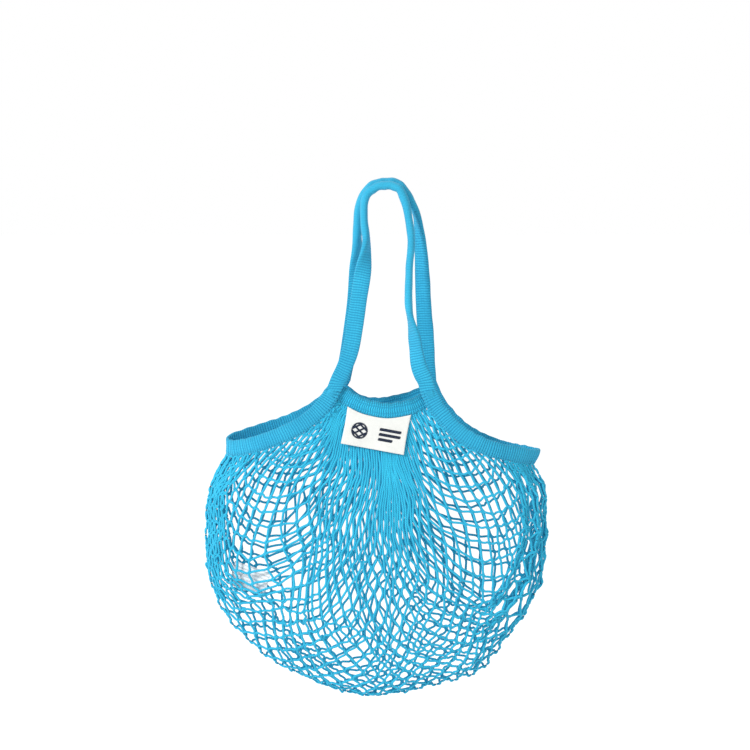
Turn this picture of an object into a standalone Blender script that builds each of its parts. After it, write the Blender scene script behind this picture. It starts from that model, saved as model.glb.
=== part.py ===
"""A string bag for produce: one knotted cotton net gathered into ribbed tape.

The bag hangs from a hook at the origin, +Z up, its front facing -Y. Lengths are in
metres. Hand-chosen route points are in millimetres and pass through mm().

One long tape makes each handle and binds the net's sides, and a short tape binds the
middle of the front and of the back. Each handle folds forward or back about the line
where its two feet leave the rim, and the woven patch lifts about its sewn top edge.
"""

import math

import bmesh
import bpy
from mathutils import Vector

# Driving dimensions
TAPE_WIDTH = 0.018
TAPE_THICKNESS = 0.004
ROLLED_WIDTH = 0.0130  # over the hook the tape curls into an oval
ROLLED_THICKNESS = 0.0096
CURLED_THICKNESS = 0.0085  # where it stands edge-on beside the hook
NET_THICKNESS = 0.0022
NET_CLEARANCE = 0.0010  # from the tapes' lower edges to the net's top edge
NET_FACES_AROUND = 72
GAP = 0.0003

THREAD_RADIUS = 0.0004
THREAD_LIFT = 1.3 * THREAD_RADIUS  # from the cloth's face, past the gap, to the thread's middle
TACK_LIFT = 1.5 * THREAD_RADIUS
SEAM_ABOVE_EDGE = 0.003
SEAM_FROM_END = 0.018
TACK_PITCH = 0.0018
TACK_PASSES = 5
TACK_FROM_FOOT = 0.006
TACK_REACH = 0.005  # to each side of the tape's middle line
JOIN_PASSES = 3
JOIN_LOW = -0.0045
JOIN_HIGH = 0.0075

HINGE_HEIGHT = -0.215  # where the handles' feet leave the rim
SQUARE_LENGTH = 0.014  # how far from a foot the tape's cut end stays level

PATCH_WIDTH = 0.070
PATCH_DROP = 0.044  # from the hinge line to the lower edge
PATCH_THICKNESS = 0.0008
PATCH_SLOPE = math.radians(-10.5)
PATCH_LEAN = math.radians(7.0)
PATCH_HINGE = Vector((-0.0095, -0.0286, -0.2413))
PATCH_CLEARANCE = 0.00045
# On the patch: x from its middle, y down from its hinge
EMBLEM_MIDDLE = (-0.0175, -0.0265)
EMBLEM_RADIUS = 0.009
EMBLEM_PITCH = 0.294  # between its rows of thread, as a share of its radius
PATCH_BARS = ((-0.0210, 0.004, 0.028), (-0.0265, 0.004, 0.028), (-0.0320, 0.004, 0.020))

LABEL_WIDTH = 0.043
LABEL_HEIGHT = 0.028
LABEL_THICKNESS = 0.0006
LABEL_STITCH_INSET = (0.0020, 0.0035)
LABEL_STITCH_PITCH = 0.0025
LABEL_PLACE = Vector((-0.153, -0.019, -0.431))
LABEL_TURN = math.radians(-14.0)
LABEL_TILT = math.radians(16.0)

COTTON_BLUE = (0.045, 0.475, 0.740)
NET_BLUE = (0.035, 0.450, 0.720)
THREAD_BLUE = (0.030, 0.400, 0.670)
PATCH_CREAM = (0.800, 0.790, 0.740)
NAVY = (0.012, 0.028, 0.085)
LABEL_WHITE = (0.860, 0.860, 0.850)

UP = Vector((0, 0, 1))


def mm(points):
    """Route points given in millimetres, as vectors in metres."""
    return [Vector(point) / 1000 for point in points]


# The front handle, from its left foot over the hook to its right foot
FRONT_HANDLE = mm([
    (-57, -27, -214.7), (-47, -25.3, -193.5), (-40, -23.3, -171), (-35, -20.5, -138),
    (-29.5, -17, -102), (-24.2, -13.6, -64), (-26.3, -11, -36), (-25.5, -9.0, -14),
    (-17.5, -7.6, -1.8), (-2, -7.4, 2.6), (13, -7.6, -2.8), (20.5, -9.6, -25),
    (25, -12.5, -56), (22.8, -15.5, -90), (22, -19, -126), (27.5, -22, -158),
    (33, -25, -192), (42, -27, -214.7),
])
FRONT_TURNS = ((0, 0), (0.24, 0), (0.37, 84), (0.42, 90), (0.82, 90), (0.90, 135), (0.985, 180),
               (1, 180))
# The back handle stands a little wider
BACK_HANDLE = mm([
    (-51, 27, -214.7), (-45.5, 24.6, -190), (-40, 21, -154), (-36, 18, -120),
    (-34, 14.5, -80), (-34, 11.5, -42), (-30.5, 9.4, -17), (-19.5, 7.8, 0.8),
    (-2, 7.4, 5.8), (13, 7.7, 2.0), (28.5, 9.9, -22), (35, 12.6, -55),
    (37.5, 16.3, -98), (40.5, 20.5, -146), (43.5, 24, -190), (45.5, 27, -214.7),
])
BACK_TURNS = ((0, 0), (0.22, 0), (0.37, 90), (0.56, 90), (0.70, 145), (0.96, 180), (1, 180))
HANDLE_WIDTHS = ((0, TAPE_WIDTH), (0.26, TAPE_WIDTH), (0.42, ROLLED_WIDTH), (0.56, ROLLED_WIDTH),
                 (0.80, TAPE_WIDTH), (1, TAPE_WIDTH))
FRONT_THICKNESSES = ((0, TAPE_THICKNESS), (0.25, TAPE_THICKNESS), (0.38, CURLED_THICKNESS),
                     (0.46, ROLLED_THICKNESS), (0.54, ROLLED_THICKNESS), (0.64, CURLED_THICKNESS),
                     (0.80, CURLED_THICKNESS), (0.92, TAPE_THICKNESS), (1, TAPE_THICKNESS))
BACK_THICKNESSES = ((0, TAPE_THICKNESS), (0.22, TAPE_THICKNESS), (0.34, ROLLED_THICKNESS),
                    (0.54, ROLLED_THICKNESS), (0.70, TAPE_THICKNESS), (1, TAPE_THICKNESS))
# Each rim runs from the front foot round the corner to the back foot
LEFT_RIM = mm([
    (-57, -27, -215.3), (-70, -27.6, -236), (-84, -28.6, -250), (-101, -29.5, -261.5),
    (-120, -29, -270.5), (-139, -25, -278), (-158, -17, -284), (-172, -8.5, -286.5),
    (-177.5, 0, -285), (-172, 8.5, -281), (-158, 17, -277), (-139, 25, -271.5),
    (-120, 29, -266), (-101, 29.5, -258.5), (-84, 28.6, -249.5), (-67, 27.6, -236),
    (-51, 27, -215.3),
])
RIGHT_RIM = mm([
    (42, -27, -215.3), (49, -27.3, -233), (58, -28, -246), (69, -29, -259),
    (84, -29.5, -271), (101, -29, -280), (120, -25, -287), (139, -17.5, -292),
    (155, -8.5, -296), (164, 0, -297), (155, 8.5, -295.5), (139, 17.5, -293.5),
    (120, 25, -289), (101, 29, -281.5), (84, 29.5, -271.5), (70, 29, -258.5),
    (59, 28, -245), (51, 27.3, -232), (45.5, 27, -215.3),
])
# The centre bindings bow down, and their ends tuck behind the long tape
FRONT_BINDING = mm([
    (-56, -22.2, -222), (-46, -22.4, -228.5), (-35, -25.4, -234.5), (-22, -26.8, -239.5),
    (-1, -27, -243), (20, -26.6, -240), (30, -24.8, -237), (38, -22.5, -233),
    (46, -22.2, -228),
])
BACK_BINDING = mm([
    (-53, 22.2, -225), (-42, 22.4, -234), (-31, 25.4, -240.5), (-20, 26.8, -243),
    (-5, 27, -243), (11, 26.8, -240), (25, 25.2, -236.5), (36, 22.5, -231.5),
    (47, 22.2, -226),
])
# The pouch below the rims, row by row: height, left edge, right edge, half its depth
BELLY = (
    (-331, -197, 173, 35), (-361, -202, 174.5, 38), (-401, -202, 174, 40),
    (-443, -196, 166, 40), (-477, -180.5, 151.5, 37), (-497, -162.5, 136, 33),
    (-525, -133, 116, 26), (-542, -98, 98, 20), (-556, -67, 49, 12), (-565, -36, 2, 5),
)
LOWEST = Vector((-0.020, 0, -0.5668))


def clear_scene():
    for obj in list(bpy.data.objects):
        bpy.data.objects.remove(obj)


def collection(name):
    """A new collection under the scene's own."""
    made = bpy.data.collections.new(name)
    bpy.context.scene.collection.children.link(made)
    return made


def material(name, colour, roughness):
    made = bpy.data.materials.new(name)
    made.use_nodes = True
    shader = made.node_tree.nodes["Principled BSDF"]
    shader.inputs["Base Color"].default_value = (*colour, 1)
    shader.inputs["Roughness"].default_value = roughness
    shader.inputs["Metallic"].default_value = 0.0
    return made


def smoothstep(t):
    t = min(max(t, 0.0), 1.0)
    return t * t * (3 - 2 * t)


def eased(stops, t):
    """A value that eases from stop to stop; stops are (place, value) pairs in order."""
    for (t0, v0), (t1, v1) in zip(stops, stops[1:]):
        if t <= t1:
            return v0 + (v1 - v0) * smoothstep((t - t0) / (t1 - t0))
    return stops[-1][1]


def evenly(dense, count):
    """The same route, as count steps of equal length."""
    lengths = [0.0]
    for a, b in zip(dense, dense[1:]):
        lengths.append(lengths[-1] + (b - a).length)
    route = []
    at = 0
    for i in range(count + 1):
        want = lengths[-1] * i / count
        while at < len(dense) - 2 and lengths[at + 1] < want:
            at += 1
        share = (want - lengths[at]) / max(lengths[at + 1] - lengths[at], 1e-9)
        route.append(dense[at].lerp(dense[at + 1], share))
    return route


def smooth_route(points, step):
    """Evenly spaced points on one smooth curve through the route's own points."""
    padded = [2 * points[0] - points[1], *points, 2 * points[-1] - points[-2]]
    dense = []
    for a, b, c, d in zip(padded, padded[1:], padded[2:], padded[3:]):
        for i in range(24):
            t = i / 24
            bend = (2 * a - 5 * b + 4 * c - d) * t * t + (3 * b - a - 3 * c + d) * t ** 3
            dense.append(0.5 * (2 * b + (c - a) * t + bend))
    dense.append(points[-1])
    whole = sum((b - a).length for a, b in zip(dense, dense[1:]))
    return evenly(dense, max(2, round(whole / step)))


def loft(name, rings, finish, into, tip=None):
    """A skin over matching rings of points: flat ends, or open first and closed on a tip."""
    mesh = bmesh.new()
    rows = [[mesh.verts.new(point) for point in ring] for ring in rings]
    for row, following in zip(rows, rows[1:]):
        for i in range(len(row)):
            j = (i + 1) % len(row)
            mesh.faces.new((row[i], row[j], following[j], following[i]))
    if tip is None:
        mesh.faces.new(rows[0])
        mesh.faces.new(rows[-1])
    else:
        end = mesh.verts.new(tip)
        for i in range(len(rows[-1])):
            mesh.faces.new((rows[-1][i], rows[-1][(i + 1) % len(rows[-1])], end))
    bmesh.ops.recalc_face_normals(mesh, faces=mesh.faces)
    if tip is None and mesh.calc_volume(signed=True) < 0:
        bmesh.ops.reverse_faces(mesh, faces=mesh.faces)
    data = bpy.data.meshes.new(name)
    mesh.to_mesh(data)
    mesh.free()
    data.shade_smooth()
    data.materials.append(finish)
    made = bpy.data.objects.new(name, data)
    into.objects.link(made)
    return made


def thread(name, points, finish, into):
    """A sewing thread: a thin round tube through its points."""
    curve = bpy.data.curves.new(name, "CURVE")
    curve.dimensions = "3D"
    curve.bevel_depth = THREAD_RADIUS
    curve.bevel_resolution = 2
    curve.use_fill_caps = True
    spline = curve.splines.new("POLY")
    spline.points.add(len(points) - 1)
    for place, point in zip(spline.points, points):
        place.co = (*point, 1)
    curve.materials.append(finish)
    made = bpy.data.objects.new(name, curve)
    into.objects.link(made)
    return made


def plate(name, outline, thickness, finish, into):
    """A flat piece of cloth, cut to an outline of local x and y."""
    curve = bpy.data.curves.new(name, "CURVE")
    curve.dimensions = "2D"
    curve.fill_mode = "BOTH"
    curve.extrude = thickness / 2
    spline = curve.splines.new("POLY")
    spline.points.add(len(outline) - 1)
    for place, (x, y) in zip(spline.points, outline):
        place.co = (x, y, 0, 1)
    spline.use_cyclic_u = True
    curve.materials.append(finish)
    made = bpy.data.objects.new(name, curve)
    into.objects.link(made)
    return made


def tape_frames(route, across_at, square_ends):
    """At each route point: the point, the direction across the tape and its face's normal.

    The face looks out of the bag where the tape starts, and it never turns over on the way.
    """
    frames = []
    last = len(route) - 1
    step = (route[1] - route[0]).length
    facing = Vector((route[0].x, route[0].y, 0))
    for i, point in enumerate(route):
        along = (route[min(i + 1, last)] - route[max(i - 1, 0)]).normalized()
        across = across_at(i / last, along)
        if square_ends:
            level = UP if along.z > 0 else -UP
            share = smoothstep(min(i, last - i) * step / SQUARE_LENGTH)
            along = level.lerp(along, share).normalized()
        across = (across - across.dot(along) * along).normalized()
        normal = along.cross(across)
        if normal.dot(facing) < 0:
            normal = -normal
        facing = normal
        frames.append((point, across, normal))
    return frames


def tape_section(frame, width, thickness):
    """Eight points of a flat section with eased corners."""
    point, across, normal = frame
    ease = 0.32 * thickness
    half, deep = width / 2, thickness / 2
    corners = ((half - ease, deep), (half, deep - ease), (half, ease - deep), (half - ease, -deep),
               (ease - half, -deep), (-half, ease - deep), (-half, deep - ease), (ease - half, deep))
    return [point + across * a + normal * n for a, n in corners]


def across_level_run(_, along):
    """Across a tape that runs round the bag: square to its run, its face looking level."""
    return along.cross(Vector((along.y, -along.x, 0)).normalized())


def across_handle(turns):
    """Across a handle's tape, which turns about its leg by the eased angles in turns."""
    def across(share, _):
        angle = math.radians(eased(turns, share))
        return Vector((math.cos(angle), math.sin(angle), 0))
    return across


def on_tape(frames, at, aside, proud):
    """A point on the tape's outer face, at metres along it and aside of its middle line."""
    step = (frames[1][0] - frames[0][0]).length
    i = min(int(at / step), len(frames) - 2)
    share = at / step - i
    middle, across, normal = (a.lerp(b, share) for a, b in zip(frames[i], frames[i + 1]))
    upward = across if across.z > 0 else -across
    return middle + upward.normalized() * aside + normal.normalized() * (TAPE_THICKNESS / 2 + proud)


def handle(name, points, turns, thicknesses, finish, into):
    """One handle, hung on an empty on the line its feet fold about."""
    route = smooth_route(points, 0.0095)
    last = len(route) - 1
    rings = []
    for i, frame in enumerate(tape_frames(route, across_handle(turns), True)):
        width, thickness = eased(HANDLE_WIDTHS, i / last), eased(thicknesses, i / last)
        rings.append(tape_section(frame, width, thickness))
    foot = points[0].y
    face = math.copysign(TAPE_THICKNESS / 2 + GAP, foot)
    made = loft(name, rings, finish, into)
    hang_on_hinge(name + "_hinge", Vector((0, foot + face, HINGE_HEIGHT)), [made], into)


def hang_on_hinge(name, place, pieces, into):
    """An empty on the joint's axis, which carries the pieces where they are."""
    hinge = bpy.data.objects.new(name, None)
    hinge.location = place
    hinge.empty_display_size = 0.02
    into.objects.link(hinge)
    bpy.context.view_layer.update()
    for piece in pieces:
        piece.parent = hinge
        piece.matrix_parent_inverse = hinge.matrix_world.inverted()


def bound_tape(name, points, square_ends, finish, into):
    """A tape sewn over the net's edge; its frames place the threads and the net."""
    frames = tape_frames(smooth_route(points, 0.0075), across_level_run, square_ends)
    loft(name, [tape_section(frame, TAPE_WIDTH, TAPE_THICKNESS) for frame in frames], finish, into)
    return frames


def seam_thread(name, frames, finish, into):
    """The row of stitches that closes a tape on the net, along its lower edge."""
    step = (frames[1][0] - frames[0][0]).length
    skipped = round(SEAM_FROM_END / step)
    aside = SEAM_ABOVE_EDGE - TAPE_WIDTH / 2
    points = [on_tape(frames, i * step, aside, GAP + THREAD_LIFT)
              for i in range(skipped, len(frames) - skipped)]
    thread(name, points, finish, into)


def to_and_fro(rows):
    """Ends of parallel passes in the order a needle makes them; rows are (place, low, high)."""
    ends = []
    for i, (place, low, high) in enumerate(rows):
        ends += [(place, low), (place, high)] if i % 2 == 0 else [(place, high), (place, low)]
    return ends


def tape_tack(name, frames, start, passes, low, high, finish, into):
    """Passes of thread across a tape, from low to high beside its middle line."""
    rows = [(start + TACK_PITCH * i, low, high) for i in range(passes)]
    points = [on_tape(frames, at, aside, GAP + TACK_LIFT)
              for at, aside in to_and_fro(rows)]
    thread(name, points, finish, into)


def lower_edge(frames, keep):
    """The tape's lower edge, where keep(x) holds, a clearance below it."""
    edge = []
    for middle, across, _ in frames:
        down = -across if across.z > 0 else across
        point = middle + down * (TAPE_WIDTH / 2 + NET_CLEARANCE)
        if keep(point.x):
            edge.append(point)
    return edge


def mouth_loop(left, back, right, front):
    """The net's top edge, once round below the four tapes."""
    feet_left, feet_right = -0.058, 0.044
    bound_left, bound_right = -0.047, 0.036
    edge = lower_edge(left, lambda x: x < feet_left)
    edge += lower_edge(back, lambda x: bound_left < x < bound_right)
    edge += reversed(lower_edge(right, lambda x: x > feet_right))
    edge += reversed(lower_edge(front, lambda x: bound_left < x < bound_right))
    edge.append(edge[0])
    return evenly(edge, NET_FACES_AROUND)[:-1]


def net_body(mouth, finish, into):
    """The gathered net as one thin pouch, open at the mouth."""
    low, high = min(p.x for p in mouth), max(p.x for p in mouth)
    middle, half = (low + high) / 2, (high - low) / 2
    bearings = []
    for point in mouth:
        cosine = min(max((point.x - middle) / half, -1.0), 1.0)
        bearings.append((cosine, math.copysign(math.sqrt(1 - cosine * cosine), point.y)))
    rows = []
    for height, left, right, depth in BELLY:
        reach = (right - left) / 2000 - NET_THICKNESS / 2
        centre = (left + right) / 2000
        rows.append([Vector((centre + reach * c, depth / 1000 * s, height / 1000))
                     for c, s in bearings])
    shoulder = [[a.lerp(b, t) for a, b in zip(mouth, rows[0])] for t in (1 / 3, 2 / 3)]
    made = loft("net_body", [mouth, *shoulder, *rows], finish, into, LOWEST)
    wall = made.modifiers.new("wall", "SOLIDIFY")
    wall.thickness = NET_THICKNESS
    wall.offset = 0


def lay(piece, place, turn):
    piece.location = place
    piece.rotation_euler = turn


def patch(binding, cloth, navy, into):
    """The woven patch below the front binding, with its emblem and bars in thread."""
    slope = Vector((math.cos(PATCH_SLOPE), 0, math.sin(PATCH_SLOPE)))
    upward = slope.cross(Vector((0, 1, 0)))
    half = PATCH_WIDTH / 2
    top = []
    for point in lower_edge(binding, lambda x: True):
        u = (point - PATCH_HINGE).dot(slope)
        drop = (PATCH_HINGE - point).dot(upward) - NET_CLEARANCE + PATCH_CLEARANCE
        if -half < u < half:
            top.append((u, -drop))
    top = [(-half, top[0][1]), *top, (half, top[-1][1])]
    outline = top + [(half, -PATCH_DROP), (-half, -PATCH_DROP)]
    cloth_piece = plate("woven_patch", outline, PATCH_THICKNESS, cloth, into)

    proud = PATCH_THICKNESS / 2 + GAP + THREAD_LIFT
    middle = Vector((*EMBLEM_MIDDLE, proud))
    emblem_rows = []
    for i in range(-3, 4):
        height = i * EMBLEM_RADIUS * EMBLEM_PITCH
        reach = math.sqrt(EMBLEM_RADIUS ** 2 - height ** 2)
        emblem_rows.append((height, -reach, reach))
    emblem = thread("patch_emblem", [middle + Vector((x, y, 0)) for y, x in to_and_fro(emblem_rows)],
                    navy, into)
    bars = thread("patch_bars", [(x, y, proud) for y, x in to_and_fro(PATCH_BARS)], navy, into)

    pieces = [cloth_piece, emblem, bars]
    for piece in pieces:
        lay(piece, PATCH_HINGE, (math.pi / 2 - PATCH_LEAN, -PATCH_SLOPE, 0))
    hang_on_hinge("woven_patch_hinge", PATCH_HINGE, pieces, into)


def care_label(cloth, sewing, into):
    """The care label inside the bag, stitched to the net along its left end."""
    half, tall = LABEL_WIDTH / 2, LABEL_HEIGHT / 2
    outline = [(-half, -tall), (half, -tall), (half, tall), (-half, tall)]
    label = plate("care_label", outline, LABEL_THICKNESS, cloth, into)
    proud = LABEL_THICKNESS / 2 + GAP + THREAD_LIFT
    near, far = LABEL_STITCH_INSET
    rows = [(LABEL_STITCH_PITCH * i, near - half, far - half) for i in range(-4, 5)]
    stitch = thread("care_label_stitch", [(x, y, proud) for y, x in to_and_fro(rows)], sewing, into)
    for piece in (label, stitch):
        lay(piece, LABEL_PLACE, (math.pi / 2, LABEL_TILT, LABEL_TURN))


def main():
    clear_scene()
    bag = collection("mesh_produce_bag")
    tape = material("ribbed_tape", COTTON_BLUE, 0.85)
    cotton = material("net_cotton", NET_BLUE, 0.80)
    sewing = material("sewing_thread", THREAD_BLUE, 0.60)
    cream = material("patch_cloth", PATCH_CREAM, 0.90)
    navy = material("navy_thread", NAVY, 0.70)
    satin = material("label_satin", LABEL_WHITE, 0.45)

    handle("front_handle", FRONT_HANDLE, FRONT_TURNS, FRONT_THICKNESSES, tape, bag)
    handle("back_handle", BACK_HANDLE, BACK_TURNS, BACK_THICKNESSES, tape, bag)
    left = bound_tape("left_rim_binding", LEFT_RIM, True, tape, bag)
    right = bound_tape("right_rim_binding", RIGHT_RIM, True, tape, bag)
    front = bound_tape("front_centre_binding", FRONT_BINDING, False, tape, bag)
    back = bound_tape("back_centre_binding", BACK_BINDING, False, tape, bag)
    net_body(mouth_loop(left, back, right, front), cotton, bag)

    seam_thread("left_rim_thread", left, sewing, bag)
    seam_thread("right_rim_thread", right, sewing, bag)
    seam_thread("front_binding_thread", front, sewing, bag)
    seam_thread("back_binding_thread", back, sewing, bag)
    feet = (("tack_front_left", left), ("tack_back_left", left[::-1]),
            ("tack_front_right", right), ("tack_back_right", right[::-1]))
    for name, frames in feet:
        tape_tack(name, frames, TACK_FROM_FOOT, TACK_PASSES, -TACK_REACH, TACK_REACH, sewing, bag)
    corner = 0.5 * (len(right) - 1) * (right[1][0] - right[0][0]).length
    tape_tack("tape_join_stitch", right, corner - TACK_PITCH, JOIN_PASSES, JOIN_LOW, JOIN_HIGH,
              sewing, bag)

    patch(front, cream, navy, bag)
    care_label(satin, sewing, bag)


main()
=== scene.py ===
# %% [markdown]
# # A string bag for produce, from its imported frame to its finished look
#
# The real bag is a diamond net of soft cotton cord, gathered into a long knitted tape. The
# tape binds the net's sides and carries on over the hook as two handles. A woven patch hangs
# from the front binding, and a small care label is sewn inside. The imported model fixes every
# size and every joint, and this script only dresses it, so it starts by loading that frame.

import math
from types import SimpleNamespace

import bpy
import numpy as np
from mathutils import Euler, Matrix, Vector
from mathutils.bvhtree import BVHTree


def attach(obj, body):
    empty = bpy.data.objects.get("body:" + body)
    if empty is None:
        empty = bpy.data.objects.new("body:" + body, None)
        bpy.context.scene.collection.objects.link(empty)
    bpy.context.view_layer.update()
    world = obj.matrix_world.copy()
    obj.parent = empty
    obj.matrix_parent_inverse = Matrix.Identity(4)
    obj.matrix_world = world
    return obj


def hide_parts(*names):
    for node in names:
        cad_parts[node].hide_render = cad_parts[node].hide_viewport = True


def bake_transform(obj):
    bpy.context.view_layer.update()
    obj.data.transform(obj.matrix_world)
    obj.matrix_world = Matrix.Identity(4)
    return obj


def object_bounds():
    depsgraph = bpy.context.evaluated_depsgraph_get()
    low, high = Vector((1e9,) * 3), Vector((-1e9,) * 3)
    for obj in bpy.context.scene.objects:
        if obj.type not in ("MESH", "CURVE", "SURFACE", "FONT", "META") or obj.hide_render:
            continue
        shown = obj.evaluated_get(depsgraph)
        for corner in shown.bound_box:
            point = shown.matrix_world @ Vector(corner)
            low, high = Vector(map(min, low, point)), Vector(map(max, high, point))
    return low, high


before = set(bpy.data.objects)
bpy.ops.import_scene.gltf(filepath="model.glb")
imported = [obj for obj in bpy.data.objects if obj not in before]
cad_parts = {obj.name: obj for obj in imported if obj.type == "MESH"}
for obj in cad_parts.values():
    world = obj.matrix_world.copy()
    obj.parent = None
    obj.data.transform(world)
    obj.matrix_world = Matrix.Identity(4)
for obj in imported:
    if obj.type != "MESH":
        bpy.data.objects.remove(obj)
cad_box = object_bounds()
TAU = 2 * math.pi
print("CAD box, mm:", [[round(x * 1000, 1) for x in corner] for corner in cad_box])

# %% [markdown]
# ## The camera
#
# A hanging bag shows its shape best straight on, from a little above its middle. A long lens
# keeps the near and far handles the same size. The distance follows from the
# lens and from the width that has to fit: similar triangles with the 36 mm sensor.

# %% Camera
VIEW_WIDTH = 0.828
VIEW_MIDDLE = Vector((-0.0145, 0, -0.2063))
LENS_MM = 105
SENSOR_MM = 36
LOOK_DOWN = math.radians(6)

camera_data = bpy.data.cameras.new("camera")
camera_data.lens = LENS_MM
camera_data.sensor_width = SENSOR_MM
camera = bpy.data.objects.new("camera", camera_data)
bpy.context.scene.collection.objects.link(camera)
to_camera = Vector((0, -math.cos(LOOK_DOWN), math.sin(LOOK_DOWN)))
camera.location = VIEW_MIDDLE + to_camera * (VIEW_WIDTH * LENS_MM / SENSOR_MM)
camera.rotation_euler = (-to_camera).to_track_quat("-Z", "Y").to_euler()
bpy.context.scene.camera = camera
print("camera stands", round((camera.location - VIEW_MIDDLE).length, 3), "m away")

# %% [markdown]
# ## Light and floor
#
# Cotton looks soft when the light is soft: a bright white room gives an even base, and a large
# lamp high on the left gives the cords a lit side and a shaded side. Without that lamp the net
# would look flat; with a small lamp every cord would throw a hard line on the next.

# %% Room, lamps and floor
ROOM_STRENGTH = 0.74  # as it lights things; the eye sees the room as plain white
FLOOR_GLOW = 0.36
FLOOR_DROP = 0.10  # below the bag's lowest cord
FLOOR_SIZE = 30
LAMPS = (  # name, place, disk width, watts
    ("key_lamp", (-1.5, -1.3, 0.8), 0.6, 36),
    ("fill_lamp", (1.3, -1.0, 0.1), 1.2, 2),
)

bpy.context.scene.view_settings.view_transform = "Standard"
world = bpy.data.worlds.new("white_room")
world.use_nodes = True
world.node_tree.nodes["Background"].inputs["Color"].default_value = (1, 1, 1, 1)
seen = world.node_tree.nodes.new("ShaderNodeLightPath").outputs["Is Camera Ray"]
seen_or_lit = world.node_tree.nodes.new("ShaderNodeMix")
seen_or_lit.inputs["A"].default_value = ROOM_STRENGTH
seen_or_lit.inputs["B"].default_value = 1.0
world.node_tree.links.new(seen, seen_or_lit.inputs["Factor"])
world.node_tree.links.new(seen_or_lit.outputs["Result"],
                          world.node_tree.nodes["Background"].inputs["Strength"])
bpy.context.scene.world = world
for name, place, size, watts in LAMPS:
    lamp_data = bpy.data.lights.new(name, "AREA")
    lamp_data.shape = "DISK"
    lamp_data.size = size
    lamp_data.energy = watts
    lamp = bpy.data.objects.new(name, lamp_data)
    lamp.location = place
    lamp.rotation_euler = (VIEW_MIDDLE - Vector(place)).to_track_quat("-Z", "Y").to_euler()
    lamp.visible_camera = False
    bpy.context.scene.collection.objects.link(lamp)

bpy.ops.mesh.primitive_plane_add(size=FLOOR_SIZE, location=(0, 0, cad_box[0].z - FLOOR_DROP))
floor = bpy.context.object
floor.name = "floor"
floor_paint = bpy.data.materials.new("pale_floor")
floor_paint.use_nodes = True
floor_shader = floor_paint.node_tree.nodes["Principled BSDF"]
floor_shader.inputs["Base Color"].default_value = (0.92, 0.92, 0.92, 1)
floor_shader.inputs["Roughness"].default_value = 0.9
floor_shader.inputs["Specular IOR Level"].default_value = 0.1
floor_seen = floor_paint.node_tree.nodes.new("ShaderNodeLightPath").outputs["Is Camera Ray"]
floor_shader.inputs["Emission Strength"].default_value = FLOOR_GLOW
floor_paint.node_tree.links.new(floor_seen, floor_shader.inputs["Emission Color"])
floor.data.materials.append(floor_paint)
print("floor at", round(floor.location.z, 3))

# %% [markdown]
# ## Small tools for routes
#
# Every part of this bag is long and thin, so nearly everything starts as a line through a few
# given points. `smooth_route` turns such points into one smooth, evenly spaced curve.
# `drift` is a slow, repeatable wobble: cloth and cord are never quite straight.

# %% Route tools
def mm(points):
    """Route points given in millimetres, in metres."""
    return np.array(points, float) / 1000


def unit(vectors):
    return vectors / np.maximum(np.linalg.norm(vectors, axis=-1, keepdims=True), 1e-12)


def smoothstep(t):
    t = np.clip(t, 0, 1)
    return t * t * (3 - 2 * t)


def eased(stops, share):
    """A value that eases from stop to stop; stops are (place, value) pairs in order."""
    value = np.full(np.shape(share), float(stops[0][1]))
    for (t0, v0), (t1, v1) in zip(stops, stops[1:]):
        value += (v1 - v0) * smoothstep((share - t0) / (t1 - t0))
    return value


def run_of(points):
    """The length walked at each point of a route."""
    steps = np.linalg.norm(np.diff(points, axis=0), axis=1)
    return np.concatenate([[0], np.cumsum(steps)])


def along_at(points, shares):
    """Points at these shares of a route's length."""
    run = run_of(points)
    return np.stack([np.interp(shares * run[-1], run, axis) for axis in points.T], 1)


def curve_through(points, times):
    """A smooth curve through a route's own points, with some steps between each two."""
    padded = np.vstack([2 * points[0] - points[1], points, 2 * points[-1] - points[-2]])
    a, b, c, d = padded[:-3], padded[1:-2], padded[2:-1], padded[3:]
    parts = []
    for t in np.arange(times) * (1 / times):
        bend = (2 * a - 5 * b + 4 * c - d) * t * t + (3 * b - a - 3 * c + d) * t ** 3
        parts.append(0.5 * (2 * b + (c - a) * t + bend))
    return np.vstack([np.stack(parts, 1).reshape(-1, 3), points[-1:]])


def smooth_route(points, step):
    """Evenly spaced points on one smooth curve through the route's own points."""
    dense = curve_through(points, 24)
    count = max(2, round(run_of(dense)[-1] / step))
    return along_at(dense, np.linspace(0, 1, count + 1))


def drift(points, size, seed, waves=7):
    """A slow wobble of about unit size in x, y and z; size is its usual wavelength."""
    random = np.random.default_rng(seed)
    total = np.zeros(points.shape)
    for _ in range(waves):
        heading = random.normal(size=3)
        pace = TAU / size * random.uniform(0.6, 1.5) * heading / np.linalg.norm(heading)
        wave = np.sin(points @ pace + random.uniform(0, TAU))
        total += wave[..., None] * random.normal(size=3)
    return total / math.sqrt(waves)


# %% [markdown]
# ## From rings to a mesh
#
# A cord, a tape and a thread differ only in their section, so one function skins all of them.
# It takes rings of points and joins each ring to the next with four-sided faces. It also
# writes a UV map called `run`: x is the length along in metres and y the share of the way
# round. The finishes read it to place twist, ribs and stitches at their real size.

# %% Skin rings into one mesh
def as_piece(name, mesh, finish):
    """A mesh as an object in the scene, shaded smooth and with its finish."""
    mesh.shade_smooth()
    mesh.materials.append(finish)
    made = bpy.data.objects.new(name, mesh)
    bpy.context.scene.collection.objects.link(made)
    print(f"{name}: {len(mesh.polygons)} faces")
    return made


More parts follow.
